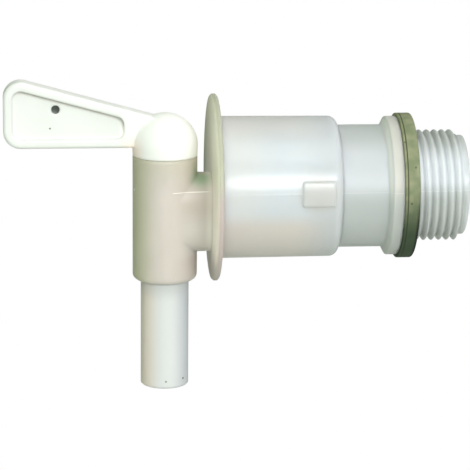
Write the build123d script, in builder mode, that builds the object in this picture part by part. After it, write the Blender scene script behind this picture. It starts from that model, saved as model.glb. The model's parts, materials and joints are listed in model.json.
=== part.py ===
from build123d import *
from math import cos, radians, sin, tan
import os

os.makedirs("parts", exist_ok=True)

# Jerrycan tap, in millimetres. X runs along the threaded sleeve and into the container,
# Z is up, and the origin is on the thread's axis at the washer's outer face.
# The tap is shown open: the handle points along -X and the plug's port faces the sleeve.

# Threaded end of the sleeve: a G 3/4 parallel pipe thread, made here as its envelope,
# with a plain land under the washer. The thread's diameter drives the whole sleeve.
thread_d = 26.44
land_relief = 0.25
thread_len = 10.4
thread_chamfer = 0.6
pilot_step = 1.38
pilot_len = 2.15
pilot_edge = 0.3
inlet_wall = 1.84

# Sealing washer, slipped over the thread and seated on the collar
washer_overhang = 0.75
washer_t = 3.5
washer_edge = 0.5
washer_slip = 0.05

# Sleeve: collar, neck and drum, each with its length along X. The collar and the drum are
# a step up from the thread, and the neck is a step down from the drum, whose corner is
# rounded down to a small land.
collar_step = 3.29
collar_len = 3.3
collar_flank = 0.75
collar_edge = 0.3
neck_step = 2.13
neck_len = 10.95
drum_step = 3.62
drum_len = 28.35
drum_draft = 0.16
drum_corner_land = 0.13
drum_back_edge = 0.2
sleeve_wall = 2.3

# Lugs on the sleeve's parting plane, which is turned about X out of the tap's own
sleeve_turn = 5.9
lug_setback = 2.0
lug_len = 7.7
lug_h = 5.8
lug_proud = 0.8
lug_edge = 0.25

# Flange, stub and spigot of the tap body
flange_d = 44.32
flange_t = 1.5
flange_edge = 0.4
stub_reach = 10.84
stub_w = 14.8
stub_waist = 12.6
stub_h = 18.8
stub_z = -5.9
stub_corner_r = 6.0
spigot_len = 12.0
spigot_wall = 2.1
spigot_fit = 0.05
spigot_lead = 0.8
duct_w = 10.0
duct_h = 11.6
duct_corner_r = 2.5

# Barrel that the plug turns in
barrel_d = 15.32
barrel_top = 7.92
barrel_bottom = -22.1
barrel_foot_r = 1.4
barrel_rim_edge = 0.25

# Plug: dome, tapered barrel fit, snap bead, side port and spout
running_gap = 0.05
cap_gap = 0.1
cap_d = 15.5
cap_z = 10.3
cap_lip = 0.1
plug_top_d = 12.5
spout_d = 11.434
spout_bottom = -48.1
spout_edge = 0.3
spout_bore_d = 8.6
spout_bore_end = 2.4
port_d = 8.0
port_z = -5.2
bead_z = 3.6
bead_h = 1.6
bead_proud = 0.25

# Handle: a flat paddle with a raised rim round a recess in each face
paddle_reach = 37.95
paddle_bottom = 10.1
paddle_root_h = 6.6
paddle_slope = 15.4
paddle_t = 5.0
paddle_corner_r = 4.1
paddle_edge = 0.5
rim_w = 2.1
recess_depth = 1.2
recess_end = 9.75
recess_corner_r = 2.0
mark_d = 2.0
mark_depth = 1.2
mark_reach = 25.74
mark_h = 9.15

# Places along the sleeve's axis
pilot_end = thread_len + pilot_len
collar_right = -washer_t
collar_left = collar_right - collar_len
drum_right = collar_left - neck_len
drum_left = drum_right - drum_len
flange_back = drum_left - flange_t
barrel_x = flange_back - stub_reach

# Radii that follow from the sizes above
thread_r = thread_d / 2
land_r = thread_r - land_relief
pilot_r = thread_r - pilot_step
inlet_bore_r = pilot_r - inlet_wall
collar_r = thread_r + collar_step
drum_r = thread_r + drum_step
drum_end_r = drum_r - drum_draft
drum_bore_r = drum_end_r - sleeve_wall
drum_corner_r = neck_step - drum_corner_land
neck_r = drum_end_r - neck_step
neck_bore_r = neck_r - sleeve_wall
washer_r = collar_r + washer_overhang
washer_bore_r = thread_r + washer_slip
spigot_r = drum_bore_r - spigot_fit
spigot_bore_r = spigot_r - spigot_wall
barrel_r = barrel_d / 2
spout_r = spout_d / 2
cap_r = cap_d / 2

# Planes and the axis that the tap body and the plug share
sleeve_section = Plane.XZ
barrel_section = Plane(origin=(barrel_x, 0, 0), x_dir=(1, 0, 0), z_dir=(0, -1, 0))
barrel_floor = Plane(origin=(barrel_x, 0, barrel_bottom))
barrel_axis = Axis((barrel_x, 0, 0), (0, 0, 1))
port_plane = Plane(origin=(barrel_x, 0, port_z), x_dir=(0, 1, 0), z_dir=(1, 0, 0))


def plug_radius(z):
    """Radius of the tapered plug at a height inside the barrel."""
    share = (z - barrel_bottom) / (barrel_top - barrel_bottom)
    return spout_r + share * (plug_top_d / 2 - spout_r)


def sleeve_rings(part, radius, x):
    """Round edges about the sleeve's axis, of one radius at one place along it."""
    return part.edges().filter_by(GeomType.CIRCLE).filter_by(
        lambda edge: abs(edge.radius - radius) < 1e-3 and abs(edge.center().X - x) < 1e-3
    )


def barrel_rings(part, radius, z):
    """Round edges about the barrel's axis, of one radius at one height."""
    return part.edges().filter_by(GeomType.CIRCLE).filter_by(
        lambda edge: abs(edge.radius - radius) < 1e-3 and abs(edge.center().Z - z) < 1e-3
    )


def taper_profile(gap, top, bottom):
    """Line of the tapered plug with its snap bead, moved out by a gap, from top to bottom."""
    bead_top = bead_z + bead_h / 2 + gap
    bead_foot = bead_z - bead_h / 2 - gap
    Line((plug_radius(top) + gap, top), (plug_radius(bead_top) + gap, bead_top))
    Polyline(
        (plug_radius(bead_top) + gap, bead_top),
        (plug_radius(bead_z) + gap + bead_proud, bead_z),
        (plug_radius(bead_foot) + gap, bead_foot),
    )
    Line((plug_radius(bead_foot) + gap, bead_foot), (plug_radius(bottom) + gap, bottom))


def paddle_points(inset, right):
    """Corners of the paddle's side view, moved inwards by an inset and closed at the right."""
    left = inset - paddle_reach
    slope = tan(radians(paddle_slope))
    top_at_axis = paddle_bottom + paddle_root_h - inset / cos(radians(paddle_slope))
    base = paddle_bottom + inset
    return [
        (left, base),
        (right, base),
        (right, top_at_axis - right * slope),
        (left, top_at_axis - left * slope),
    ]


# Tap body: barrel, stub, flange and spigot moulded in one
with BuildPart() as tap_body:
    with BuildSketch(barrel_floor):
        Circle(barrel_r)
    extrude(amount=barrel_top - barrel_bottom)
    fillet(barrel_rings(tap_body, barrel_r, barrel_bottom), barrel_foot_r)
    chamfer(barrel_rings(tap_body, barrel_r, barrel_top), barrel_rim_edge)

    # Stub, narrower at the flange than at the barrel
    stub_plane = Plane(origin=(barrel_x, 0, stub_z), x_dir=(0, 1, 0), z_dir=(1, 0, 0))
    with BuildSketch(stub_plane):
        RectangleRounded(stub_w, stub_h, stub_corner_r)
    with BuildSketch(stub_plane.offset(stub_reach)):
        RectangleRounded(stub_waist, stub_h, stub_corner_r)
    loft()

    with BuildSketch(Plane.YZ.offset(flange_back)):
        Circle(flange_d / 2)
    extrude(amount=flange_t)
    for flange_face in (flange_back, drum_left):
        chamfer(sleeve_rings(tap_body, flange_d / 2, flange_face), flange_edge)

    with BuildSketch(Plane.YZ.offset(drum_left)):
        Circle(spigot_r)
        Circle(spigot_bore_r, mode=Mode.SUBTRACT)
    extrude(amount=spigot_len)
    chamfer(sleeve_rings(tap_body, spigot_r, drum_left + spigot_len), spigot_lead)

    # Duct from the sleeve to the barrel's outside, then the round window into its bore
    duct_plane = Plane(origin=(drum_left, 0, port_z), x_dir=(0, 1, 0), z_dir=(1, 0, 0))
    with BuildSketch(duct_plane):
        RectangleRounded(duct_w, duct_h, duct_corner_r)
    extrude(amount=barrel_x + barrel_r - drum_left, mode=Mode.SUBTRACT)
    with BuildSketch(port_plane):
        Circle(port_d / 2)
    extrude(amount=barrel_d, mode=Mode.SUBTRACT)

    with BuildSketch(barrel_section):
        with BuildLine():
            Line((0, barrel_bottom), (0, barrel_top))
            Line((0, barrel_top), (plug_radius(barrel_top) + running_gap, barrel_top))
            taper_profile(running_gap, barrel_top, barrel_bottom)
            Line((spout_r + running_gap, barrel_bottom), (0, barrel_bottom))
        make_face()
    revolve(axis=barrel_axis, mode=Mode.SUBTRACT)
tap_body.part.label = "tap_body"
export_step(tap_body.part, "parts/tap_body.step")


# Threaded sleeve: drum, neck, collar and thread, pushed over the spigot up to the flange
with BuildPart() as threaded_sleeve:
    with BuildSketch(sleeve_section):
        with BuildLine():
            Polyline(
                (drum_left, 0),
                (drum_left, drum_r),
                (drum_right, drum_end_r),
                (drum_right, neck_r),
                (collar_left, neck_r),
                (collar_left + collar_flank, collar_r),
                (collar_right, collar_r),
                (collar_right, land_r),
                (0, land_r),
                (0, thread_r),
                (thread_len, thread_r),
                (thread_len, pilot_r),
                (pilot_end, pilot_r),
                (pilot_end, 0),
                close=True,
            )
        make_face()
    revolve(axis=Axis.X)
    fillet(sleeve_rings(threaded_sleeve, drum_end_r, drum_right), drum_corner_r)
    chamfer(sleeve_rings(threaded_sleeve, drum_r, drum_left), drum_back_edge)
    chamfer(sleeve_rings(threaded_sleeve, collar_r, collar_right), collar_edge)
    chamfer(sleeve_rings(threaded_sleeve, pilot_r, pilot_end), pilot_edge)
    chamfer(sleeve_rings(threaded_sleeve, thread_r, thread_len), thread_chamfer)

    # One lug at each end of the parting plane
    for side in (-1, 1):
        lug_normal = (0, side * cos(radians(sleeve_turn)), -side * sin(radians(sleeve_turn)))
        lug_centre = (drum_right - lug_setback - lug_len / 2, 0, 0)
        lug_plane = Plane(origin=lug_centre, x_dir=(1, 0, 0), z_dir=lug_normal)
        with BuildSketch(lug_plane.offset(drum_end_r - drum_corner_r)):
            Rectangle(lug_len, lug_h)
        extrude(amount=drum_corner_r + lug_proud)
        lug_top = threaded_sleeve.faces().sort_by(Axis(lug_centre, lug_normal))[-1]
        chamfer(lug_top.edges(), lug_edge)

    with BuildSketch(sleeve_section):
        with BuildLine():
            Polyline(
                (drum_left, 0),
                (drum_left, drum_bore_r),
                (drum_right - sleeve_wall, drum_bore_r),
                (drum_right - sleeve_wall, neck_bore_r),
                (collar_right - sleeve_wall, neck_bore_r),
                (collar_right - sleeve_wall, inlet_bore_r),
                (pilot_end, inlet_bore_r),
                (pilot_end, 0),
                close=True,
            )
        make_face()
    revolve(axis=Axis.X, mode=Mode.SUBTRACT)
threaded_sleeve.part.label = "threaded_sleeve"
export_step(threaded_sleeve.part, "parts/threaded_sleeve.step")


# Sealing washer between the collar and the container
with BuildPart() as sealing_washer:
    with BuildSketch(Plane.YZ.offset(collar_right)):
        Circle(washer_r)
        Circle(washer_bore_r, mode=Mode.SUBTRACT)
    extrude(amount=washer_t)
    for washer_face in (collar_right, 0):
        chamfer(sleeve_rings(sealing_washer, washer_r, washer_face), washer_edge)
sealing_washer.part.label = "sealing_washer"
export_step(sealing_washer.part, "parts/sealing_washer.step")


# Plug: handle, dome, tapered plug and spout moulded in one
with BuildPart() as plug:
    with BuildSketch(barrel_section) as paddle_outline:
        with BuildLine():
            Polyline(*paddle_points(0, 0), close=True)
        make_face()
        fillet(paddle_outline.vertices().sort_by(Axis.X)[:2], paddle_corner_r)
    extrude(amount=paddle_t / 2, both=True)
    paddle_faces = plug.faces().filter_by(Axis.Y)
    chamfer(
        paddle_faces.edges().filter_by(lambda edge: edge.center().X < barrel_x - cap_r),
        paddle_edge,
    )

    for side in (-1, 1):
        recess_plane = Plane(
            origin=(barrel_x, side * paddle_t / 2, 0), x_dir=(1, 0, 0), z_dir=(0, -1, 0)
        )
        with BuildSketch(recess_plane) as recess_outline:
            with BuildLine():
                Polyline(*paddle_points(rim_w, -recess_end), close=True)
            make_face()
            fillet(recess_outline.vertices(), recess_corner_r)
        extrude(amount=side * recess_depth, mode=Mode.SUBTRACT)

    mark_plane = Plane(
        origin=(barrel_x - mark_reach, recess_depth - paddle_t / 2, paddle_bottom + mark_h),
        x_dir=(1, 0, 0),
        z_dir=(0, 1, 0),
    )
    with BuildSketch(mark_plane):
        Circle(mark_d / 2)
    extrude(amount=mark_depth, mode=Mode.SUBTRACT)

    with BuildSketch(barrel_section):
        with BuildLine():
            cap_foot = barrel_top + cap_gap
            CenterArc((0, cap_z), cap_r, 0, 90)
            Line((cap_r, cap_z), (cap_r - cap_lip, cap_foot))
            Line((cap_r - cap_lip, cap_foot), (plug_radius(cap_foot), cap_foot))
            taper_profile(0, cap_foot, barrel_bottom)
            Line((spout_r, barrel_bottom), (spout_r, spout_bottom))
            Line((spout_r, spout_bottom), (0, spout_bottom))
            Line((0, spout_bottom), (0, cap_z + cap_r))
        make_face()
    revolve(axis=barrel_axis)

    # Bore of the spout, closed under the dome by a bevelled end, and the port into it
    with BuildSketch(barrel_section):
        with BuildLine():
            Polyline(
                (0, spout_bottom),
                (spout_bore_d / 2, spout_bottom),
                (spout_bore_d / 2, cap_z),
                (spout_bore_d / 2 - spout_bore_end, cap_z + spout_bore_end),
                (0, cap_z + spout_bore_end),
                close=True,
            )
        make_face()
    revolve(axis=barrel_axis, mode=Mode.SUBTRACT)
    with BuildSketch(port_plane):
        Circle(port_d / 2)
    extrude(amount=cap_d, mode=Mode.SUBTRACT)
    chamfer(barrel_rings(plug, spout_r, spout_bottom), spout_edge)
plug.part.label = "plug"
export_step(plug.part, "parts/plug.step")
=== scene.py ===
import json
import math

import bpy
from bpy.props import FloatProperty, FloatVectorProperty, IntProperty, PointerProperty
from mathutils import Matrix, Vector


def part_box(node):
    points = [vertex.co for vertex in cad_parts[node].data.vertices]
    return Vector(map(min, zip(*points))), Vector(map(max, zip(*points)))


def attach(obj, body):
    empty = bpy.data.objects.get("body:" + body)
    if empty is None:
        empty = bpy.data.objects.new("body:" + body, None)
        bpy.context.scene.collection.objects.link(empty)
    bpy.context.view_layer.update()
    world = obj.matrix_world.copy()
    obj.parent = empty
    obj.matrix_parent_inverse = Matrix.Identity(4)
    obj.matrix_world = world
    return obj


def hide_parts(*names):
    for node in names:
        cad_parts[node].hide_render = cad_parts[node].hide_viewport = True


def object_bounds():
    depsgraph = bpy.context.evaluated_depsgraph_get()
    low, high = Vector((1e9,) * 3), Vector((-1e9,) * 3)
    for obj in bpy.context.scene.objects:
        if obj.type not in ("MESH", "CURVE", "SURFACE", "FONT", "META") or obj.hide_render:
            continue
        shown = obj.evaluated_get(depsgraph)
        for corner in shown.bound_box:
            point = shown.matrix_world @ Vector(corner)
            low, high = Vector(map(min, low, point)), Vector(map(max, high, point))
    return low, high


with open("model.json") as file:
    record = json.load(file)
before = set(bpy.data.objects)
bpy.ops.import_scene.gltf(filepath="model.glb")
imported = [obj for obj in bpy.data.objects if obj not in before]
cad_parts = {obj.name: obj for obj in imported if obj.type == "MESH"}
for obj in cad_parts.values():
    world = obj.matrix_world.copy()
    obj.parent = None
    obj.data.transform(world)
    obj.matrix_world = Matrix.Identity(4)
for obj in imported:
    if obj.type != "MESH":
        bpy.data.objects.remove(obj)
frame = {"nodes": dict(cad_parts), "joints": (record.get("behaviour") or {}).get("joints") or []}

bl_info = {
    "name": "Jerrycan Tap",
    "version": (1, 0, 0),
    "blender": (4, 5, 0),
    "location": "View3D > Sidebar > Tap",
    "description": "Finishes a jerrycan tap: its threaded sleeve, body, plug and washer, and a plain stage",
    "category": "Object",
}

MM = 0.001
FULL_TURN = 2 * math.pi

# The construction at rest, in metres
CAD_LOW, CAD_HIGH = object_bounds()
SLEEVE_LOW, SLEEVE_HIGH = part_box("threaded_sleeve")
WASHER_LOW, WASHER_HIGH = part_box("sealing_washer")
BARREL_X = frame["joints"][0]["pos_m"][0]

# Directions in the shared frame, for masks that change along them
RIGHT = (1, 0, 0)
BACK = (0, 1, 0)
UP = (0, 0, 1)

# Thread: rows of corners for each turn, the share of a pitch in which the last crest sinks away, how
# fast the first one rises out of the land, and the narrow steps before and after the rows
ROWS_PER_PITCH = 16
CREST_END = 0.35
RUN_IN_SLOPE = 1.6
LAND_STEP = 0.02 * MM
PILOT_STEP = 0.1 * MM

# How far a corner may lie from the thread's rows, along the axis and in radius, and still belong to them
ROW_SLACK = 0.01 * MM
ROOT_SLACK = 0.05 * MM

# Slope of the collar's flank where it is rounded, in degrees
FLANK_SLOPE = 55

# How far the lugs and lines reach into the drum's wall, and how far a line clears the drum's taper
BLOCK_SINK = 1.5 * MM
LINE_LIFT = 0.1 * MM

# Edges sharper than these stay crisp, in degrees
SLEEVE_CREASE = 32
WASHER_CREASE = 35

# The middle range of noise that is spread over the whole drift between two tones
DRIFT_START = 0.35
DRIFT_END = 0.65

# Shares of the parting line's width where its mask starts to fade and where it is gone
LINE_CORE = 0.3
LINE_END = 0.6

# How open a place is where a nearby wall's shade starts, and where it is full
SHADE_START = 0.68
SHADE_FULL = 0.4

# Rays that look for nearby walls and edges at each place
SIDE_RAYS = 8

# The fine skin's height, its grain's height against its ripple's, and how far red, green and blue
# light spread inside the plastic
SKIN_HEIGHT = 0.1 * MM
GRAIN_SHARE = 0.35
LIGHT_SPREAD = (1.0, 0.97, 0.9)

# Where the room's light changes from its left colour to its right one, as shares of the way across
ROOM_CHANGE_START = -0.8
ROOM_CHANGE_END = 0.5

# Softboxes: degrees to the right and up, then distance, width and height in metres, and colour
SOFTBOXES = {
    "key": (7, 19.5, 0.62, (0.43, 0.22), (0.96, 0.98, 1.0)),
    "top": (10, 68, 0.9, (0.8, 0.6), (0.97, 0.98, 1.0)),
    "side": (62, 20, 0.9, (0.5, 0.5), (1.0, 0.99, 0.98)),
}


def size(name, description, millimetres):
    """A length property in metres, given in millimetres."""
    return FloatProperty(
        name=name, description=description, default=millimetres * MM, unit="LENGTH", precision=5
    )


def angle(name, description, degrees):
    """An angle property, given in degrees."""
    return FloatProperty(name=name, description=description, default=math.radians(degrees), subtype="ANGLE")


def amount(name, description, value, low=0.0, high=1.0):
    """A plain number between two limits."""
    return FloatProperty(name=name, description=description, default=value, min=low, max=high)


def count(name, description, value):
    """A whole number of steps round a piece."""
    return IntProperty(name=name, description=description, default=value, min=48, max=360)


def tint(name, description, red, green, blue):
    """A linear colour property."""
    return FloatVectorProperty(
        name=name, description=description, default=(red, green, blue), subtype="COLOR", min=0.0, max=1.0
    )


class TapSleeveSettings(bpy.types.PropertyGroup):
    """Sizes and colours of the threaded sleeve."""

    drum_radius: size("Drum radius", "Outside radius of the drum beside the flange", 16.84)
    drum_end_radius: size("Drum end radius", "Outside radius of the drum at the neck", 16.68)
    drum_length: size("Drum length", "Length of the drum along the thread's axis", 28.35)
    drum_corner: size("Drum corner", "Rounding of the drum's corner at the neck", 2.0)
    neck_radius: size("Neck radius", "Outside radius of the neck", 14.55)
    neck_length: size("Neck length", "Length of the neck", 10.95)
    collar_radius: size("Collar radius", "Outside radius of the collar behind the washer", 16.51)
    collar_length: size("Collar length", "Length of the collar with its sloping flank", 3.3)
    collar_flank: size("Collar flank", "Length of the collar's sloping flank", 0.75)
    land_radius: size("Land radius", "Radius of the plain land under the washer", 12.97)
    thread_radius: size("Thread radius", "Radius over the thread's crests", 13.2)
    thread_depth: size("Thread depth", "Depth of the thread from crest to root", 1.35)
    thread_pitch: size("Thread pitch", "Distance from one crest to the next", 1.814)
    thread_start: size("Thread start", "Where the land ends, from the washer's face", 0.45)
    thread_end: size("Thread end", "Where the last crest sinks away, from the washer's face", 11.1)
    thread_phase: amount("Thread phase", "Turn of the thread about its axis, as a share of one pitch", 0.2)
    crest_fullness: amount("Crest fullness", "Width of the rounded crests: less is wider", 0.72, 0.2, 2.0)
    pilot_radius: size("Pilot radius", "Radius of the plain end", 11.84)
    pilot_edge: size("Pilot edge", "Rounding of the plain end's rim", 0.3)
    inlet_radius: size("Inlet radius", "Radius of the bore at the thread", 10.0)
    wall: size("Wall", "Wall thickness of the drum and neck", 2.3)
    edge: size("Edge", "Rounding of the small outside edges", 0.25)
    root_rounding: size("Root rounding", "Rounding at the foot of the steps", 0.3)
    turn: angle("Turn", "Turn of the sleeve's parting plane about the thread's axis", 5.9)
    lug_setback: size("Lug setback", "Distance from each lug to the drum's end", 2.0)
    lug_length: size("Lug length", "Length of each lug", 7.7)
    lug_height: size("Lug height", "Height of each lug", 5.8)
    lug_rise: size("Lug rise", "Height of each lug above the drum", 0.5)
    lug_edge: size("Lug edge", "Rounding of each lug's edges", 0.42)
    line_rise: size("Line rise", "Height of the parting line above the surface", 0.06)
    line_width: size("Line width", "Width of the parting line", 0.16)
    steps: count("Steps", "Steps round the sleeve", 192)
    colour: tint("Colour", "Colour of the milky plastic", 0.66, 0.69, 0.71)
    warm_colour: tint("Warm colour", "Colour where the spigot shows through the drum", 0.69, 0.70, 0.685)
    neck_colour: tint("Neck colour", "Colour of the neck's thinner wall", 0.58, 0.60, 0.615)
    # Painted light: the collar's sloping flank lighter than the plastic beside it
    flank_light_colour: tint("Flank colour", "Colour of the collar's sloping flank", 0.75, 0.75, 0.705)
    collar_colour: tint("Collar colour", "Colour of the collar's rim", 0.63, 0.605, 0.55)
    # Painted shade: the drum darker at its underside and, at half strength, at its top
    falloff_shade_colour: tint("Low colour", "Colour of the drum's underside", 0.69, 0.63, 0.58)
    # Painted shade: the neck, thread and pilot darker above and below
    dim_shade_colour: tint("Dim colour", "Colour of the neck and thread, above and below", 0.47, 0.495, 0.475)
    lug_colour: tint("Lug colour", "Colour of the thick plastic at the lugs", 0.60, 0.575, 0.54)


class TapBodySettings(bpy.types.PropertyGroup):
    """Sizes and colours of the tap body's finish."""

    line_width: size("Line width", "Width of the parting line", 0.2)
    line_start: size("Line start", "Where the parting line starts on the stub, from the barrel's axis", 1.4)
    line_turn: angle("Line turn", "Turn of the parting plane about the thread's axis", 2.0)
    flange_thickness: size("Flange thickness", "Thickness of the flange", 1.5)
    colour: tint("Colour", "Colour of the natural plastic", 0.68, 0.61, 0.555)
    # Painted highlight: the parting line's flash painted bright
    line_glint_colour: tint("Line colour", "Colour of the parting line where it is bright", 0.95, 0.92, 0.84)
    # Painted shade: the flange face's far edge near black
    far_shade_colour: tint("Far colour", "Colour of the flange's far edge", 0.13, 0.19, 0.11)
    # Painted shade: the barrel's right side and the stub darker
    stub_shade_colour: tint("Stub colour", "Colour of the barrel's right side and the stub", 0.62, 0.55, 0.495)
    shade_colour: tint("Shade colour", "Colour of the shaded corner at the stub's top", 0.31, 0.41, 0.27)
    flange_colour: tint("Flange colour", "Colour of the flange", 0.575, 0.48, 0.445)
    # Painted shade: the flange's upper part greener and darker
    upper_shade_colour: tint("Upper colour", "Colour of the flange's upper part", 0.42, 0.44, 0.34)
    # Painted shade: the flange face's foot dimmer
    foot_shade_colour: tint("Foot colour", "Colour of the flange's lowest part", 0.36, 0.35, 0.31)
    # Painted light: the stub's lower side lighter than the rest of the stub
    low_stub_light_colour: tint("Low stub colour", "Colour of the stub's lower side", 0.69, 0.64, 0.59)
    # Painted shade: the barrel's left side greener and darker, and, weaker, everything towards the top
    barrel_shade_colour: tint("Left colour", "Colour of the barrel's left side", 0.56, 0.54, 0.40)
    # Painted light: the colour of an emission glow on the flange, which is no lamp
    flange_glow_colour: tint("Flange light", "Colour of the light that comes through the flange", 1.0, 1.0, 0.78)
    # The dot is the parting line's flash seen edge on, painted bright as a painted highlight
    glint_dot_radius: size("Dot radius", "Radius of the bright dot at the end of the parting line", 0.3)


class TapPlugSettings(bpy.types.PropertyGroup):
    """Colours of the plug, its handle and its mark."""

    mark_reach: size("Mark reach", "Distance of the round mark from the barrel's axis", 25.74)
    mark_height: size("Mark height", "Height of the round mark above the thread's axis", 19.25)
    mark_radius: size("Mark radius", "Radius of the round mark", 1.0)
    spout_top: size("Spout top", "Height where the spout leaves the barrel", -22.1)
    dome_foot: size("Dome foot", "Height where the dome meets the barrel", 8.02)
    dome_radius: size("Dome radius", "Radius of the dome", 7.75)
    colour: tint("Colour", "Colour of the white plastic", 0.80, 0.81, 0.775)
    # Painted shade: the spout darker than the rest of the plug
    spout_shade_colour: tint("Spout colour", "Colour of the thin-walled spout", 0.72, 0.725, 0.715)
    corner_colour: tint("Corner colour", "Colour in the recess's shaded corners", 0.33, 0.29, 0.24)
    recess_end: size("Recess end", "Distance of the recess's right end from the barrel's axis", 9.75)
    handle_slope: angle("Handle slope", "Slope of the handle's upper edge", 15.4)
    handle_top: size("Handle top", "Height of the handle's upper edge, drawn on to the barrel's axis", 16.7)
    recess_face: size("Recess face", "Distance of the recess's face from the tap's middle plane", 1.3)
    # Painted light and shade: a warm tone on the spout's left and the dome's left foot
    warm_painted_side: tint("Warm side", "Colour of the dome's and spout's left side", 0.86, 0.72, 0.62)
    # Painted shade: a cool, darker tone on the spout's right side
    cool_shade_side: tint("Cool side", "Colour of the spout's right side", 0.52, 0.55, 0.58)
    # Painted light: the colour of an emission glow in the dome and handle, which are no lamp
    dome_glow_colour: tint("Dome light", "Colour of the light that comes through the dome", 1.0, 0.96, 0.84)
    mark_colour: tint("Mark colour", "Colour inside the handle's round mark", 0.025, 0.045, 0.03)


class TapWasherSettings(bpy.types.PropertyGroup):
    """Sizes and colours of the rubber washer."""

    hole_radius: size("Hole radius", "Radius of the washer's hole", 13.27)
    front_edge: size("Front edge", "Rounding of the edge towards the container", 0.45)
    back_edge: size("Back edge", "Rounding of the edge on the collar", 0.2)
    groove_place: size("Groove place", "Distance of the fine groove from the back face", 0.62)
    groove_depth: size("Groove depth", "Depth of the fine groove", 0.12)
    groove_width: size("Groove width", "Width of the fine groove", 0.22)
    steps: count("Steps", "Steps round the washer", 180)
    colour: tint("Colour", "Colour of the rubber", 0.29, 0.305, 0.18)
    dark_colour: tint("Dark colour", "Colour of the rubber's darker mottling", 0.205, 0.235, 0.13)
    # Painted shade: the fine groove darker
    groove_shade_colour: tint("Groove colour", "Colour in the fine groove", 0.09, 0.085, 0.05)
    # Painted shade: the rubber darker towards the bottom
    falloff_shade_colour: tint("Low colour", "Colour of the damp rubber at the bottom", 0.03, 0.055, 0.027)


class TapStageSettings(bpy.types.PropertyGroup):
    """Camera, lamps and floor."""

    yaw: angle("Yaw", "Turn of the view to the right", 5.228)
    pitch: angle("Pitch", "Slope of the view downwards", 14.0)
    roll: angle("Roll", "Turn of the picture", 0.529)
    distance: size("Distance", "Distance from the camera to the point it looks at", 604.5)
    aim_x: size("Aim X", "The point that the camera looks at, along the thread", -41.674)
    aim_z: size("Aim Z", "The point that the camera looks at, upwards", -11.789)
    sensor: amount("Sensor", "Sensor width in millimetres", 36.0, 1.0, 100.0)
    lens: amount("Lens", "Focal length in millimetres", 194.22, 10.0, 1000.0)
    floor_drop: size("Floor drop", "Height of the tap above the floor", 260.0)
    floor_reach: size("Floor reach", "Half the width of the floor", 9000.0)
    floor_colour: tint("Floor colour", "Colour of the pale floor", 0.72, 0.74, 0.70)
    key_watts: amount("Key", "Power of the front softbox", 2.95, 0.0, 100.0)
    top_watts: amount("Top", "Power of the overhead softbox", 2.35, 0.0, 100.0)
    side_watts: amount("Side", "Power of the softbox on the right", 0.5, 0.0, 100.0)
    room_strength: amount("Room", "Strength of the room's own light", 0.44, 0.0, 10.0)
    room_left: tint("Room left", "Colour of the room's light from the left", 0.58, 0.80, 0.50)
    room_right: tint("Room right", "Colour of the room's light from the right", 1.0, 1.0, 1.0)
    mirror_share: amount("Mirror share", "How much of the white background shows in reflections", 0.2)
    near_white: amount("Near white", "How white the floor shows to the camera below the tap", 0.75)
    near_reach: size("Near reach", "How far from the tap the floor keeps its own colour", 500.0)


# Modelling helpers


def select_only(obj):
    """Leaves one object selected and active."""
    bpy.ops.object.select_all(action="DESELECT")
    obj.select_set(True)
    bpy.context.view_layer.objects.active = obj


def arc(centre, radius, start, end, steps):
    """Points of an arc in the (x, r) plane, with its angles in degrees."""
    turns = [math.radians(start + (end - start) * i / steps) for i in range(steps + 1)]
    return [(centre[0] + radius * math.cos(a), centre[1] + radius * math.sin(a)) for a in turns]


def turned_ring(name, outline, steps):
    """A solid of revolution: a loop of corners is laid on a closed (x, r) outline and spun about X."""
    bpy.ops.object.select_all(action="DESELECT")
    bpy.ops.mesh.primitive_circle_add(vertices=len(outline), radius=WASHER_HIGH.z, location=(0, 0, 0))
    ring = bpy.context.object
    ring.name = name
    for vertex, (x, r) in zip(ring.data.vertices, outline):
        vertex.co = (x, 0, r)
    bpy.ops.object.mode_set(mode="EDIT")
    bpy.ops.mesh.select_all(action="SELECT")
    bpy.ops.mesh.spin(steps=steps, angle=FULL_TURN, center=(0, 0, 0), axis=RIGHT)
    bpy.ops.mesh.select_all(action="SELECT")
    bpy.ops.mesh.remove_doubles(threshold=0.002 * MM)
    bpy.ops.mesh.normals_make_consistent(inside=False)
    bpy.ops.object.mode_set(mode="OBJECT")
    return ring


def apply_modifiers(piece):
    """Applies all the modifiers of a piece in order."""
    select_only(piece)
    for modifier in list(piece.modifiers):
        bpy.ops.object.modifier_apply(modifier=modifier.name)


def union(piece, tool):
    """Joins a tool to a piece and removes the tool."""
    join = piece.modifiers.new("union", "BOOLEAN")
    join.operation = "UNION"
    join.solver = "EXACT"
    join.object = tool
    apply_modifiers(piece)
    bpy.data.objects.remove(tool)


def side_block(name, low, high, turn, rounding):
    """A rounded block between two (x, out, across) corners, turned about the thread's axis."""
    bpy.ops.object.select_all(action="DESELECT")
    bpy.ops.mesh.primitive_cube_add(size=1.0, location=(0, 0, 0))
    block = bpy.context.object
    block.name = name
    turned = Matrix.Rotation(turn, 3, "X")
    for vertex in block.data.vertices:
        share = [c + 0.5 for c in vertex.co]
        vertex.co = turned @ Vector([a + (b - a) * f for a, b, f in zip(low, high, share)])
    bevel = block.modifiers.new("rounding", "BEVEL")
    bevel.width = rounding
    bevel.segments = 3
    apply_modifiers(block)
    return block


def smooth_by_angle(piece, degrees):
    """Shades a piece smooth, with the edges sharper than an angle kept sharp."""
    select_only(piece)
    bpy.ops.object.shade_smooth_by_angle(angle=math.radians(degrees))


def dress(obj, material):
    """Gives an object one material and no other."""
    obj.data.materials.clear()
    obj.data.materials.append(material)


# Shader helpers, and the groups that the materials share


def rgba(colour):
    """A colour with full alpha."""
    return (colour[0], colour[1], colour[2], 1.0)


def shade(colour, factor):
    """A colour made darker or lighter."""
    return tuple(min(1.0, c * factor) for c in colour[:3])


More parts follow.
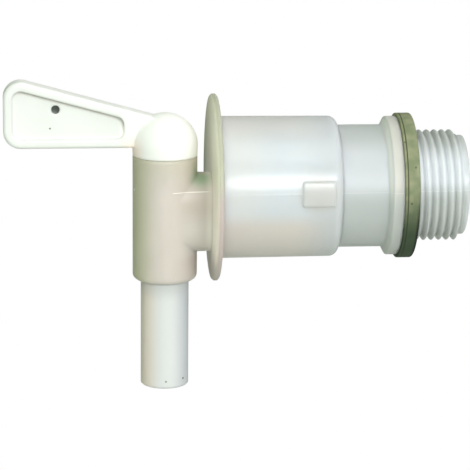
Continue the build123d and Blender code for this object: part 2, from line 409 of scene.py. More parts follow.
def feed(tree, node, inputs):
    """Links a node's inputs to other nodes' outputs, or sets them to plain values."""
    for key, value in inputs.items():
        if isinstance(value, bpy.types.NodeSocket):
            tree.links.new(value, node.inputs[key])
        else:
            node.inputs[key].default_value = value


def new_node(tree, kind, inputs=None, **settings):
    """The outputs of a new shader node with its settings and inputs."""
    node = tree.nodes.new("ShaderNode" + kind)
    for name, value in settings.items():
        setattr(node, name, value)
    feed(tree, node, inputs or {})
    return node.outputs


def maths(tree, operation, *values):
    """The result of a Math node."""
    return new_node(tree, "Math", dict(enumerate(values)), operation=operation)[0]


def fade(tree, value, low, high, first, last, kind="SMOOTHSTEP"):
    """The result of a Map Range node: first to last, while a value goes from low to high."""
    inputs = {"Value": value, "From Min": low, "From Max": high, "To Min": first, "To Max": last}
    return new_node(tree, "MapRange", inputs, interpolation_type=kind)["Result"]


def blend(tree, factor, first, second):
    """The colour that lies between two others by a factor."""
    return new_node(tree, "Mix", {0: factor, 6: first, 7: second}, data_type="RGBA")[2]


def new_group(name, inputs, outputs):
    """An empty node group that reads a Vector: the group, what comes in, and the node it goes out by.

    The default of each input gives its kind: a number, a place with 3 parts or a colour with 4.
    """
    group = bpy.data.node_groups.new(name, "ShaderNodeTree")
    kinds = {3: "NodeSocketVector", 4: "NodeSocketColor"}
    group.interface.new_socket(name="Vector", in_out="INPUT", socket_type="NodeSocketVector")
    for label, default in inputs.items():
        kind = "NodeSocketFloat" if isinstance(default, float) else kinds[len(default)]
        group.interface.new_socket(name=label, in_out="INPUT", socket_type=kind).default_value = default
    for label in outputs:
        kind = "NodeSocketColor" if label == "Color" else "NodeSocketFloat"
        group.interface.new_socket(name=label, in_out="OUTPUT", socket_type=kind)
    return group, group.nodes.new("NodeGroupInput").outputs, group.nodes.new("NodeGroupOutput")


def make_cloud_group():
    """Uneven milkiness: a colour that drifts between two tones over a few millimetres."""
    group, enter, leave = new_group(
        "Milky Cloud",
        {"Light": (0.8, 0.8, 0.8, 1), "Dense": (0.7, 0.7, 0.7, 1), "Scale": 60.0},
        ["Color"],
    )
    drift = {"Vector": enter["Vector"], "Scale": enter["Scale"], "Detail": 2.0, "Roughness": 0.45}
    noise = new_node(group, "TexNoise", drift)["Fac"]
    share = fade(group, noise, DRIFT_START, DRIFT_END, 0.0, 1.0, "LINEAR")
    feed(group, leave, {"Color": blend(group, share, enter["Light"], enter["Dense"])})


def make_skin_group():
    """Fine unevenness of a moulded skin: a height for a bump, and a roughness that changes with it."""
    group, enter, leave = new_group(
        "Moulded Skin",
        {"Ripple Scale": 350.0, "Grain Scale": 2600.0, "Roughness": 0.35, "Spread": 0.12},
        ["Height", "Roughness"],
    )
    place = {"Vector": enter["Vector"], "Detail": 1.0}
    ripple = new_node(group, "TexNoise", {**place, "Scale": enter["Ripple Scale"]})["Fac"]
    grain = new_node(group, "TexNoise", {**place, "Scale": enter["Grain Scale"]})["Fac"]
    height = maths(group, "MULTIPLY_ADD", grain, GRAIN_SHARE, ripple)
    uneven = maths(group, "SUBTRACT", ripple, 0.5)
    rough = maths(group, "MULTIPLY_ADD", uneven, enter["Spread"], enter["Roughness"])
    feed(group, leave, {"Height": height, "Roughness": rough})


def make_speck_group():
    """A mask of small scattered specks, such as dust in plastic or filler in rubber."""
    group, enter, leave = new_group("Specks", {"Scale": 300.0, "Size": 0.12}, ["Mask"])
    cells = new_node(group, "TexVoronoi", {"Vector": enter["Vector"], "Scale": enter["Scale"]})
    feed(group, leave, {"Mask": maths(group, "LESS_THAN", cells["Distance"], enter["Size"])})


def make_line_group():
    """A mask along the parting plane through the thread's axis, tilted about it."""
    group, enter, leave = new_group("Parting Line", {"Tilt": 0.0, "Width": 0.2 * MM}, ["Mask"])
    tilt = {"Vector": enter["Vector"], "Angle": enter["Tilt"]}
    turned = new_node(group, "VectorRotate", tilt, rotation_type="X_AXIS")["Vector"]
    away = maths(group, "ABSOLUTE", new_node(group, "SeparateXYZ", {"Vector": turned})["Z"])
    share = maths(group, "DIVIDE", away, enter["Width"])
    feed(group, leave, {"Mask": fade(group, share, LINE_CORE, LINE_END, 1.0, 0.0)})


def round_mask(tree, place, centre, radius, softness):
    """A mask of one round mark about a centre, with a soft edge."""
    away = new_node(tree, "VectorMath", {0: place, 1: centre}, operation="DISTANCE")["Value"]
    over = maths(tree, "SUBTRACT", maths(tree, "DIVIDE", away, radius), 1.0)
    return fade(tree, maths(tree, "DIVIDE", over, softness), -0.5, 0.5, 1.0, 0.0)


def make_mark_group():
    """The mask of a round mark, to place in a material."""
    inputs = {"Centre": (0.0, 0.0, 0.0), "Radius": 1.0 * MM, "Softness": 0.2}
    group, enter, leave = new_group("Round Mark", inputs, ["Mask"])
    mask = round_mask(group, enter["Vector"], enter["Centre"], enter["Radius"], enter["Softness"])
    feed(group, leave, {"Mask": mask})


def make_reach_group():
    """A mask that fades from 0 to 1 between two places along one axis."""
    inputs = {"Axis": (1.0, 0.0, 0.0), "From": 0.0, "To": 1.0}
    group, enter, leave = new_group("Reach", inputs, ["Mask"])
    axis = {0: enter["Vector"], 1: enter["Axis"]}
    along = new_node(group, "VectorMath", axis, operation="DOT_PRODUCT")["Value"]
    feed(group, leave, {"Mask": fade(group, along, enter["From"], enter["To"], 0.0, 1.0)})


GROUP_MAKERS = {
    "Milky Cloud": make_cloud_group,
    "Moulded Skin": make_skin_group,
    "Specks": make_speck_group,
    "Parting Line": make_line_group,
    "Round Mark": make_mark_group,
    "Reach": make_reach_group,
}


class Finish:
    """A node material in the making: masks on object coordinates, layers of colour, and a bump."""

    def __init__(self, name):
        self.material = bpy.data.materials.new(name)
        self.material.use_nodes = True
        self.tree = self.material.node_tree
        self.shader = self.tree.nodes["Principled BSDF"]
        self.place = new_node(self.tree, "TexCoord")["Object"]
        self.colour = None
        # Strength of the painted glow, an emission that stands in for light
        self.light = None

    def group(self, name, **values):
        """The outputs of a shared group, placed on object coordinates with its own values."""
        if name not in bpy.data.node_groups:
            GROUP_MAKERS[name]()
        inputs = {"Vector": self.place}
        inputs.update((key.replace("_", " "), value) for key, value in values.items())
        return new_node(self.tree, "Group", inputs, node_tree=bpy.data.node_groups[name])

    def reach(self, start, end, axis=RIGHT):
        """A mask that fades in from a first place to a second one, along an axis."""
        return self.group("Reach", Axis=axis, From=start, To=end)["Mask"]

    def past(self, place, start, end, axis=RIGHT):
        """A mask that fades in between two distances past a place, in millimetres."""
        return self.reach(place + start * MM, place + end * MM, axis)

    def height(self, start, end):
        """A mask that fades in between two heights over the thread's axis, in millimetres."""
        return self.past(0.0, start, end, UP)

    def spot(self, centre, radius, softness):
        """The mask of a round mark."""
        return self.group("Round Mark", Centre=centre, Radius=radius, Softness=softness)["Mask"]

    def between(self, mask, first, last):
        """A value that goes from a first one to a last one as a mask rises."""
        return fade(self.tree, mask, 0.0, 1.0, first, last, "LINEAR")

    def product(self, masks, share=1.0):
        """The product of several masks, made weaker or stronger by a share."""
        factors = masks if share == 1.0 else (*masks, share)
        result = factors[0]
        for factor in factors[1:]:
            result = maths(self.tree, "MULTIPLY", result, factor)
        return result

    def base(self, light, dense, scale):
        """The first colour: two tones that drift into each other."""
        self.colour = self.group("Milky Cloud", Light=rgba(light), Dense=rgba(dense), Scale=scale)["Color"]

    def layer(self, colour, *masks, share=1.0):
        """Lays a colour over what is there, where all of its masks say."""
        self.colour = blend(self.tree, self.product(masks, share), self.colour, rgba(colour))

    def shadowed(self, colour, *masks, direction, distance, share=1.0):
        """Darkens what a wall within a distance hides from one side, where all of its masks say."""
        towards = new_node(self.tree, "CombineXYZ", dict(enumerate(direction)))["Vector"]
        inputs = {"Distance": distance, "Normal": towards}
        near = new_node(self.tree, "AmbientOcclusion", inputs, samples=SIDE_RAYS)["AO"]
        hidden = fade(self.tree, near, SHADE_START, SHADE_FULL, 0.0, share, "LINEAR")
        self.layer(colour, hidden, *masks)

    def mark(self, colour, centre, radius, softness=0.3):
        """Lays a small round mark of one colour over what is there."""
        self.layer(colour, self.spot(centre, radius, softness))

    def specks(self, colour, scale, extent, share):
        """Scatters small specks of a colour over what is there."""
        self.layer(colour, self.group("Specks", Scale=scale, Size=extent)["Mask"], share=share)

    def line(self, turn, width):
        """The mask of the parting line."""
        return self.group("Parting Line", Tilt=turn, Width=width)["Mask"]

    def painted_light(self, *masks, strength):
        """Adds painted light, an emission glow, where all of its masks say."""
        light = self.product(masks, strength)
        self.light = maths(self.tree, "ADD", self.light, light) if self.light else light

    def skin(self, strength, rounding=0.2 * MM, matt=None, **values):
        """The fine skin: its bump, softly rounded edges, and a roughness that a mask can raise."""
        skin = self.group("Moulded Skin", **values)
        rough = maths(self.tree, "ADD", skin["Roughness"], matt) if matt else skin["Roughness"]
        soft = new_node(self.tree, "Bevel", {"Radius": rounding}, samples=SIDE_RAYS)["Normal"]
        inputs = {"Strength": strength, "Distance": SKIN_HEIGHT, "Height": skin["Height"], "Normal": soft}
        bump = new_node(self.tree, "Bump", inputs)["Normal"]
        feed(self.tree, self.shader, {"Roughness": rough, "Normal": bump})

    def glow(self, weight, depth):
        """Light that spreads inside the plastic."""
        spread = {"Subsurface Weight": weight, "Subsurface Radius": LIGHT_SPREAD, "Subsurface Scale": depth}
        feed(self.tree, self.shader, spread)

    def done(self, glow_tint=(1.0, 1.0, 1.0)):
        """The finished material, with its painted glow in one colour."""
        feed(self.tree, self.shader, {"Base Color": self.colour})
        if self.light:
            light = blend(self.tree, self.light, rgba((0, 0, 0)), rgba(glow_tint))
            feed(self.tree, self.shader, {"Emission Color": light, "Emission Strength": 1.0})
        return self.material


# Threaded sleeve


def thread_rows(s):
    """Places along the axis of the rows of corners that carry the thread."""
    rows = int(round((s.thread_end - s.thread_start) / s.thread_pitch * ROWS_PER_PITCH))
    return [s.thread_start + (s.thread_end - s.thread_start) * i / rows for i in range(rows + 1)]


def sleeve_outline(s):
    """The sleeve's section as a closed (x, r) outline: outside from flange to pilot, then inside."""
    left = SLEEVE_LOW.x
    right = SLEEVE_HIGH.x
    drum_right = left + s.drum_length
    collar_left = drum_right + s.neck_length
    collar_right = collar_left + s.collar_length
    shoulder = collar_left + s.collar_flank
    edge = s.edge
    root = s.root_rounding
    corner = s.drum_corner
    points = arc((left + edge, s.drum_radius - edge), edge, 180, 90, 3)
    points += arc((drum_right - corner, s.drum_end_radius - corner), corner, 90, 0, 12)
    points += arc((drum_right + root, s.neck_radius + root), root, 180, 270, 4)
    points += arc((collar_left - root, s.neck_radius + root), root, 270, 270 + FLANK_SLOPE, 3)
    points += arc((shoulder + edge, s.collar_radius - edge), edge, 90 + FLANK_SLOPE, 90, 3)
    points += arc((collar_right - edge, s.collar_radius - edge), edge, 90, 0, 3)
    points += [(collar_right, s.land_radius), (s.thread_start - LAND_STEP, s.land_radius)]
    points += [(x, s.thread_radius - s.thread_depth) for x in thread_rows(s)]
    points += [(s.thread_end + PILOT_STEP, s.pilot_radius)]
    points += arc((right - s.pilot_edge, s.pilot_radius - s.pilot_edge), s.pilot_edge, 90, 0, 6)
    points += arc((right - edge, s.inlet_radius + edge), edge, 0, -90, 3)
    inner_step = collar_right - s.wall
    drum_step = drum_right - s.wall
    points += [(inner_step, s.inlet_radius), (inner_step, s.neck_radius - s.wall)]
    points += [(drum_step, s.neck_radius - s.wall), (drum_step, s.drum_end_radius - s.wall)]
    points += [(left, s.drum_end_radius - s.wall)]
    return points


def thread_surface(s, x, turn):
    """Radius of the right-hand thread's surface at a place along the axis and round it."""
    phase = (x - s.thread_start) / s.thread_pitch - turn / FULL_TURN + s.thread_phase
    wave = (0.5 + 0.5 * math.cos(FULL_TURN * phase)) ** s.crest_fullness
    fall = min(1.0, max(0.0, (s.thread_end - x) / (CREST_END * s.thread_pitch)))
    cut = s.thread_radius - s.thread_depth * (1 - wave * fall)
    run_in = s.land_radius - RUN_IN_SLOPE * (x - s.thread_start)
    return max(cut, run_in)


def cut_thread(piece, s):
    """Raises the helical thread from the plain root, between the washer's land and the pilot."""
    root = s.thread_radius - s.thread_depth
    first = s.thread_start - ROW_SLACK
    last = s.thread_end + ROW_SLACK
    for vertex in piece.data.vertices:
        x, y, z = vertex.co
        radius = math.hypot(y, z)
        if first < x < last and abs(radius - root) < ROOT_SLACK:
            share = thread_surface(s, x, math.atan2(z, y)) / radius
            vertex.co = (x, y * share, z * share)


def add_lugs_and_lines(sleeve, s):
    """Joins a lug and a fine parting line to the drum, on both sides of its parting plane."""
    left = SLEEVE_LOW.x
    lug_right = left + s.drum_length - s.lug_setback
    lug_left = lug_right - s.lug_length
    foot = s.drum_end_radius - BLOCK_SINK
    lug_top = s.drum_end_radius + s.lug_rise
    line_top = s.drum_end_radius + LINE_LIFT + s.line_rise
    blocks = (
        ("lug", lug_left, lug_right, lug_top, s.lug_height / 2, s.lug_edge),
        ("line", left + s.edge, lug_left + s.lug_edge, line_top, s.line_width / 2, s.line_width / 4),
    )
    for side in (-1, 1):
        for name, start, end, top, half, rounding in blocks:
            low, high = sorted((side * foot, side * top))
            union(sleeve, side_block(name, (start, low, -half), (end, high, half), -s.turn, rounding))


def milky_plastic(s):
    """Milky translucent plastic, glossy on the drum, warmer where the spigot shows through it, with painted
    shade on its top and underside.
    """
    left = SLEEVE_LOW.x
    drum_right = left + s.drum_length
    collar_left = drum_right + s.neck_length
    collar_right = collar_left + s.collar_length
    shoulder = collar_left + s.collar_flank
    finish = Finish("milky_plastic")
    finish.base(s.colour, shade(s.colour, 0.95), scale=90.0)
    narrow = finish.past(drum_right, -12, 0)
    turned = finish.past(drum_right, -0.6, 0)
    threaded = finish.past(collar_right, -0.4, 0)
    pilot_end = finish.past(s.thread_end, 0.4, 1.0)
    below = finish.height(4, -2)

    # The drum: warm over the spigot, with painted shade at its bottom and, at half strength, at its top
    finish.layer(s.warm_colour, finish.past(left, 13, 4), share=0.9)
    finish.layer(s.falloff_shade_colour, finish.height(-2, -7))
    finish.layer(s.falloff_shade_colour, finish.height(12, 16.5), share=0.5)

    # The thinner neck, the thread after it, and painted shade on the upper side of both
    finish.layer(s.neck_colour, narrow)
    finish.layer(s.colour, threaded)
    finish.layer(s.dim_shade_colour, turned, finish.height(9.5, 13.5), share=0.7)
    finish.layer(shade(s.dim_shade_colour, 0.88), threaded, finish.height(7, 13.5))

    # The collar's flank, which starts a little before its step, painted lighter as painted light, and its
    # rim in a warmer tone
    foot = collar_left - 0.2 * MM
    for start, end, colour in ((foot, shoulder, s.flank_light_colour), (shoulder, collar_right, s.collar_colour)):
        finish.layer(colour, finish.past(start, -0.3, 0.3), finish.past(end, 0, -0.4))

    # Painted shade on the lower side, and on the pilot's end painted light below and painted shade above
    for zone, share in ((narrow, 0.2), (turned, 0.7), (threaded, 0.8)):
        finish.layer(s.dim_shade_colour, zone, below, share=share)
    finish.layer(s.colour, pilot_end, below, share=0.55)
    finish.layer(s.dim_shade_colour, pilot_end, finish.height(1, 8), share=0.4)

    # The near lug, the parting line where no solid line runs, painted lighter as a painted highlight on the
    # real line, and the specks
    lug_x = drum_right - s.lug_setback - s.lug_length / 2
    lug_place = (lug_x, -s.drum_radius * math.cos(s.turn), s.drum_radius * math.sin(s.turn))
    finish.layer(s.lug_colour, finish.spot(lug_place, radius=4.4 * MM, softness=0.8), share=0.7)
    finish.layer(shade(s.colour, 1.25), finish.line(s.turn, s.line_width), turned, share=0.3)
    finish.specks(shade(s.colour, 0.55), scale=190.0, extent=0.035, share=0.3)

    # Matt from the neck to the thread's end, with rounder edges on the thread and crisp ones on the pilot
    before_pilot = finish.past(s.thread_end, 0.3, 0)
    matt = finish.product((turned, before_pilot), share=0.22)
    wider = finish.between(threaded, first=0.7 * MM, last=2.0 * MM)
    crisp = finish.between(before_pilot, first=0.2, last=1.0)
    rounding = finish.product((wider, crisp))
    finish.skin(strength=0.08, rounding=rounding, matt=matt, Roughness=0.235, Ripple_Scale=260.0)
    finish.glow(weight=0.8, depth=6 * MM)
    return finish.done()


class TAP_OT_sleeve(bpy.types.Operator):
    """Build the threaded sleeve with its helical thread, lugs and parting line"""

    bl_idname = "tap.make_sleeve"
    bl_label = "Threaded Sleeve"

    def execute(self, context):
        s = context.scene.tap_sleeve
        sleeve = turned_ring("sleeve_moulding", sleeve_outline(s), s.steps)
        cut_thread(sleeve, s)
        add_lugs_and_lines(sleeve, s)
        smooth_by_angle(sleeve, SLEEVE_CREASE)
        dress(sleeve, milky_plastic(s))
        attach(sleeve, "body")
        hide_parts("threaded_sleeve")
        return {"FINISHED"}


# Tap body


def natural_plastic(s):
    """Natural satin plastic with its parting line along the stub painted bright as a highlight, painted
    shade on the barrel, stub and flange, and a painted glow in the flange.
    """
    face = SLEEVE_LOW.x - s.flange_thickness
    finish = Finish("natural_plastic")
    finish.base(s.colour, shade(s.colour, 0.95), scale=110.0)
    stub = finish.past(BARREL_X, 0, 7)
    at_flange = finish.past(face, -0.2, 0.2)
    at_face = finish.past(face, -0.6, -0.2)

    # Painted shade on the barrel's right side and the stub, and painted light on the stub's lower side
    finish.layer(s.stub_shade_colour, stub)
    finish.layer(s.low_stub_light_colour, stub, finish.height(-3, -9), finish.height(-17, -14))

    # The flange: its rim in a darker, pinker tone, with painted shade greener above, dimmer on its face's
    # foot and near black at its face's far edge
    finish.layer(s.flange_colour, at_flange)
    finish.layer(s.upper_shade_colour, at_flange, finish.height(-2, 9))
    finish.layer(s.foot_shade_colour, at_face, finish.height(-11, -18), share=0.35)
    finish.layer(s.far_shade_colour, at_face, finish.past(0.0, 9, 20, BACK), share=0.65)

    # Painted shade on the barrel's left side, and painted shade in the corner at the stub's top
    finish.layer(s.barrel_shade_colour, finish.past(BARREL_X, -2, -7))
    corner = (face - 2.6 * MM, -3 * MM, 3.2 * MM)
    finish.mark(s.shade_colour, corner, radius=2.6 * MM, softness=1.6)

    # The parting line along the stub and its dot on the barrel's left: real flash, painted bright as a
    # painted highlight where it catches the light
    line = finish.line(s.line_turn, s.line_width)
    line_left = BARREL_X + s.line_start
    finish.layer(s.line_glint_colour, line, finish.past(line_left, -0.4, 0.4), finish.past(face, 0, -2))
    finish.mark(s.line_glint_colour, (BARREL_X - 7.35 * MM, -2.15 * MM, 0.11 * MM), s.glint_dot_radius)
    finish.specks(shade(s.colour, 0.5), scale=170.0, extent=0.03, share=0.5)

    # Painted shade towards the top, under the dome, and a painted glow in the flange, stronger on its near
    # side
    finish.layer(s.barrel_shade_colour, finish.height(1, 8), share=0.45)
    in_flange = (finish.past(face, -2, 0), finish.past(face, 0.6, 0.1))
    nearer = finish.past(0.0, 22, -22, BACK)
    finish.painted_light(*in_flange, nearer, finish.height(-20, -10), strength=0.26)
    finish.skin(strength=0.1, rounding=1.8 * MM, Roughness=0.42, Ripple_Scale=300.0)
    finish.glow(weight=0.5, depth=4 * MM)
    return finish.done(s.flange_glow_colour)


class TAP_OT_body(bpy.types.Operator):
    """Finish the tap body and its parting line"""

    bl_idname = "tap.make_body"
    bl_label = "Tap Body"

    def execute(self, context):
        dress(frame["nodes"]["tap_body"], natural_plastic(context.scene.tap_body))
        return {"FINISHED"}


# Plug


def white_plastic(s):
    """White semi-gloss plastic with the dark round mark in the handle's recess, painted light and shade on
    the spout and dome, and a painted glow in the dome and handle.
    """
    dome_left = BARREL_X - s.dome_radius
    edge = BARREL_X - s.recess_end
    finish = Finish("white_plastic")
    finish.base(s.colour, shade(s.colour, 0.975), scale=120.0)
    spout = finish.past(s.spout_top, 1, 0, UP)
    above = finish.past(s.dome_foot, -0.1, 0, UP)
    beside = finish.reach(BARREL_X - 1.5 * s.dome_radius, dome_left)
    inside = finish.past(-s.recess_face, -0.6, -0.3, BACK)
    before = finish.past(edge, 0.8, 0.4)
    handle = finish.past(dome_left, 0, -1)

    # The spout painted darker as painted shade, warm on its left as painted light, cool and darker on its
    # right as painted shade, and with a painted shadow below the barrel
    finish.layer(s.spout_shade_colour, spout)
    finish.layer(s.warm_painted_side, spout, finish.past(BARREL_X, -1, -5), share=0.75)
    finish.layer(s.cool_shade_side, spout, finish.past(BARREL_X, 1, 5.5), share=0.8)
    finish.layer(shade(s.spout_shade_colour, 0.7), spout, finish.past(s.spout_top, -5, -0.5, UP), share=0.5)

    # Painted warm shade on the dome's left foot, and painted shade in the upper corners of the handle's
    # recess
    at_left = finish.reach(BARREL_X - 4.5 * MM, dome_left)
    finish.layer(s.warm_painted_side, above, at_left, finish.past(s.dome_foot, 6, 1, UP), beside)
    recess_top = (inside, before, finish.height(12.5, 15.5))
    shade_side = (0.3, -0.5, 0.81)
    finish.shadowed(s.corner_colour, *recess_top, direction=shade_side, distance=1.3 * MM, share=0.75)

    # The round mark, and small dark spots: one in the recess and two on the spout
    mark_x = BARREL_X - s.mark_reach
    recess_spot = (mark_x - 1.3 * MM, -s.recess_face, s.mark_height - 4.5 * MM)
    mark_bottom = (mark_x, -0.7 * MM, s.mark_height)
    finish.mark(s.mark_colour, mark_bottom, radius=s.mark_radius * 1.13, softness=0.12)
    finish.mark(s.mark_colour, recess_spot, radius=0.2 * MM)
    finish.mark(s.mark_colour, (BARREL_X + 4.2 * MM, -3.87 * MM, -46 * MM), radius=0.25 * MM)
    finish.mark(s.corner_colour, (BARREL_X, -5.72 * MM, -46.3 * MM), radius=0.25 * MM)
    finish.specks(shade(s.colour, 0.35), scale=110.0, extent=0.022, share=0.7)

    # Painted glow on the dome, the handle, its upper edge and the recess's right end
    across = finish.reach(BARREL_X - 3 * s.dome_radius, BARREL_X + s.dome_radius)
    finish.painted_light(above, across, beside, strength=0.2)
    finish.painted_light(above, handle, strength=0.04)
    slope_up = (math.sin(s.handle_slope), 0, math.cos(s.handle_slope))
    top = BARREL_X * slope_up[0] + s.handle_top * slope_up[2]
    finish.painted_light(finish.past(top, -0.6, -0.1, slope_up), handle, strength=0.06)
    end_wall = (inside, before, finish.past(edge, -1.2, -0.5), finish.height(16, 13))
    finish.painted_light(*end_wall, strength=0.35)
    finish.skin(strength=0.06, rounding=0.9 * MM, Roughness=0.33, Ripple_Scale=300.0)
    finish.glow(weight=0.15, depth=2.5 * MM)
    return finish.done(s.dome_glow_colour)


class TAP_OT_plug(bpy.types.Operator):
    """Finish the plug with its handle and the handle's round mark"""

    bl_idname = "tap.make_plug"
    bl_label = "Plug"

    def execute(self, context):
        dress(frame["nodes"]["plug"], white_plastic(context.scene.tap_plug))
        return {"FINISHED"}


# Sealing washer


def washer_outline(s):
    """The washer's section as a closed (x, r) outline, with a fine groove near its back face."""
    back = WASHER_LOW.x
    front = WASHER_HIGH.x
    rim = WASHER_HIGH.z
    groove = back + s.groove_place
    half = s.groove_width / 2
    points = arc((back + s.back_edge, rim - s.back_edge), s.back_edge, 180, 90, 4)
    points += [(groove - half, rim), (groove, rim - s.groove_depth), (groove + half, rim)]
    points += arc((front - s.front_edge, rim - s.front_edge), s.front_edge, 90, 0, 8)
    points += arc((front - s.back_edge, s.hole_radius + s.back_edge), s.back_edge, 0, -90, 3)
    points += arc((back + s.back_edge, s.hole_radius + s.back_edge), s.back_edge, 270, 180, 3)
    return points


def olive_rubber(s):
    """Matt mottled rubber with dark filler specks, painted shade in its fine groove and painted shade
    towards its bottom.
    """
    groove = WASHER_LOW.x + s.groove_place
    finish = Finish("olive_rubber")
    finish.base(s.colour, s.dark_colour, scale=420.0)
    finish.specks(shade(s.dark_colour, 0.5), scale=430.0, extent=0.13, share=0.8)
    # Painted shade in the fine groove
    before = finish.reach(groove - s.groove_width, groove - s.groove_width / 4)
    after = finish.reach(groove + s.groove_width, groove + s.groove_width / 4)
    finish.layer(s.groove_shade_colour, before, after)

    # Painted shade towards the bottom, and a painted shadow, nearly black, on the lower front face
    low = finish.height(4.5, -9)
    finish.layer(s.falloff_shade_colour, low, share=0.92)
    finish.layer(shade(s.falloff_shade_colour, 0.2), finish.past(WASHER_HIGH.x, -0.9, -0.2), low)
    feed(finish.tree, finish.shader, {"Specular IOR Level": 0.25})
    finish.skin(strength=0.35, Roughness=0.72, Ripple_Scale=900.0)
    return finish.done()


class TAP_OT_washer(bpy.types.Operator):
    """Build the rubber washer with its rounded edge and fine groove"""

    bl_idname = "tap.make_washer"
    bl_label = "Sealing Washer"

    def execute(self, context):
        s = context.scene.tap_washer
        washer = turned_ring("washer_ring", washer_outline(s), s.steps)
        smooth_by_angle(washer, WASHER_CREASE)
        dress(washer, olive_rubber(s))
        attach(washer, "body")
        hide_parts("sealing_washer")
        return {"FINISHED"}


# Stage


def softbox(name, azimuth, elevation, distance, extent, colour, watts, target):
    """A rectangular lamp in front of the tap, at an azimuth to the right and an elevation in degrees."""
    lamp = bpy.data.lights.new(name, "AREA")
    lamp.shape = "RECTANGLE"
    lamp.size, lamp.size_y = extent
    lamp.energy = watts
    lamp.color = colour
    holder = bpy.data.objects.new(name, lamp)
    bpy.context.scene.collection.objects.link(holder)
    a, e = math.radians(azimuth), math.radians(elevation)
    away = Vector((math.sin(a) * math.cos(e), -math.cos(a) * math.cos(e), math.sin(e)))
    holder.location = Vector(target) + away * distance
    holder.rotation_euler = away.to_track_quat("Z", "Y").to_euler()


def seen_white(tree, mirror_share):
    """How white the background is for each ray: all for the camera, and a share in reflections."""
    path = new_node(tree, "LightPath")
    mirrored = maths(tree, "MULTIPLY", path["Is Glossy Ray"], mirror_share)
    reflected = maths(tree, "MAXIMUM", mirrored, path["Is Transmission Ray"])
    return maths(tree, "MAXIMUM", reflected, path["Is Camera Ray"])


def mix_white(tree, shown, white, weight, output):
    """Lays a white shader over another one by a weight, and puts it out."""
    mix = new_node(tree, "MixShader", {0: weight, 1: shown, 2: white})
    feed(tree, tree.nodes[output], {"Surface": mix[0]})


def make_room(s):
    """A dim room, greener on the left, and plain white where the camera sees it."""
    world = bpy.data.worlds.new("room")
    bpy.context.scene.world = world
    world.use_nodes = True
    tree = world.node_tree
    room = tree.nodes["Background"]
    direction = new_node(tree, "TexCoord")["Generated"]
    across = new_node(tree, "SeparateXYZ", {"Vector": direction})["X"]
    share = fade(tree, across, ROOM_CHANGE_START, ROOM_CHANGE_END, 0.0, 1.0)
    colour = blend(tree, share, rgba(s.room_left), rgba(s.room_right))
    feed(tree, room, {"Color": colour, "Strength": s.room_strength})
    white = new_node(tree, "Background", {"Color": (1, 1, 1, 1)})
    mix_white(tree, room.outputs[0], white[0], seen_white(tree, s.mirror_share), "World Output")


def make_floor(s):
    """A wide pale floor well below the tap: its shadow shows nearby, and farther off it is white."""
    centre = (BARREL_X, 0, CAD_LOW.z - s.floor_drop)
    bpy.ops.object.select_all(action="DESELECT")
    bpy.ops.mesh.primitive_plane_add(size=2 * s.floor_reach, location=(0, 0, 0))
    floor = bpy.context.object
    floor.name = "floor"
    floor.data.transform(Matrix.Translation(centre))
    finish = Finish("pale_floor")
    tree = finish.tree
    finish.base(s.floor_colour, shade(s.floor_colour, 0.98), scale=3.0)
    feed(tree, finish.shader, {"Roughness": 0.9, "Specular IOR Level": 0.0})
    near = round_mask(tree, finish.place, centre, s.near_reach, softness=0.5)
    far_white = finish.between(near, first=1.0, last=s.near_white)
    weight = finish.product((seen_white(tree, s.mirror_share), far_white))
    white = new_node(tree, "Emission")
    mix_white(tree, finish.shader.outputs[0], white[0], weight, "Material Output")
    dress(floor, finish.done())


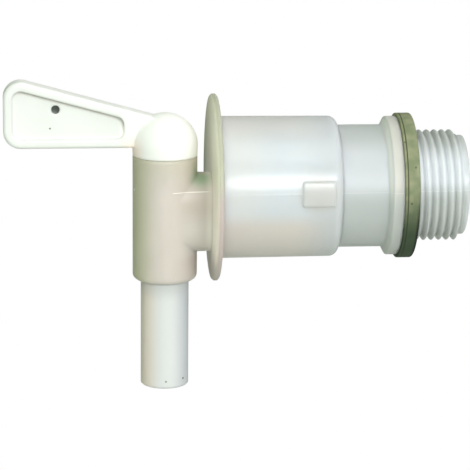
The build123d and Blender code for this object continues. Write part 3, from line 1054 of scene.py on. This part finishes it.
def make_camera(s):
    """The camera at the photograph's place and angle."""
    data = bpy.data.cameras.new("camera")
    data.sensor_width = s.sensor
    data.lens = s.lens
    data.clip_start = 10 * MM
    camera = bpy.data.objects.new("camera", data)
    bpy.context.scene.collection.objects.link(camera)
    level = Vector((math.cos(s.yaw), -math.sin(s.yaw), 0))
    ahead = Vector((math.sin(s.yaw), math.cos(s.yaw), 0))
    forward = ahead * math.cos(s.pitch) - Vector((0, 0, math.sin(s.pitch)))
    up = level.cross(forward)
    right = level * math.cos(s.roll) + up * math.sin(s.roll)
    top = up * math.cos(s.roll) - level * math.sin(s.roll)
    turn = Matrix((right, top, -forward)).transposed().to_4x4()
    camera.matrix_world = Matrix.Translation(Vector((s.aim_x, 0, s.aim_z)) - forward * s.distance) @ turn
    bpy.context.scene.camera = camera


class TAP_OT_stage(bpy.types.Operator):
    """Set up the camera, the softboxes, the room and the floor"""

    bl_idname = "tap.make_stage"
    bl_label = "Stage"

    def execute(self, context):
        s = context.scene.tap_stage
        watts = {"key": s.key_watts, "top": s.top_watts, "side": s.side_watts}
        for name, place in SOFTBOXES.items():
            softbox(name, *place, watts[name], (s.aim_x, 0, 0))
        make_room(s)
        make_floor(s)
        make_camera(s)
        context.scene.view_settings.view_transform = "Standard"
        return {"FINISHED"}


class TAP_PT_panel(bpy.types.Panel):
    """The tap's pieces and its stage"""

    bl_idname = "TAP_PT_panel"
    bl_label = "Jerrycan Tap"
    bl_space_type = "VIEW_3D"
    bl_region_type = "UI"
    bl_category = "Tap"

    def draw(self, context):
        for operator in OPERATORS:
            self.layout.operator(operator.bl_idname)


SETTINGS = {
    "tap_sleeve": TapSleeveSettings,
    "tap_body": TapBodySettings,
    "tap_plug": TapPlugSettings,
    "tap_washer": TapWasherSettings,
    "tap_stage": TapStageSettings,
}
OPERATORS = (TAP_OT_stage, TAP_OT_sleeve, TAP_OT_body, TAP_OT_plug, TAP_OT_washer)


def register():
    for name, settings in SETTINGS.items():
        bpy.utils.register_class(settings)
        setattr(bpy.types.Scene, name, PointerProperty(type=settings))
    for operator in OPERATORS:
        bpy.utils.register_class(operator)
    bpy.utils.register_class(TAP_PT_panel)


def unregister():
    bpy.utils.unregister_class(TAP_PT_panel)
    for operator in reversed(OPERATORS):
        bpy.utils.unregister_class(operator)
    for name, settings in SETTINGS.items():
        delattr(bpy.types.Scene, name)
        bpy.utils.unregister_class(settings)


def main():
    register()
    bpy.ops.tap.make_stage()
    bpy.ops.tap.make_sleeve()
    bpy.ops.tap.make_body()
    bpy.ops.tap.make_plug()
    bpy.ops.tap.make_washer()


if __name__ == "__main__":
    main()
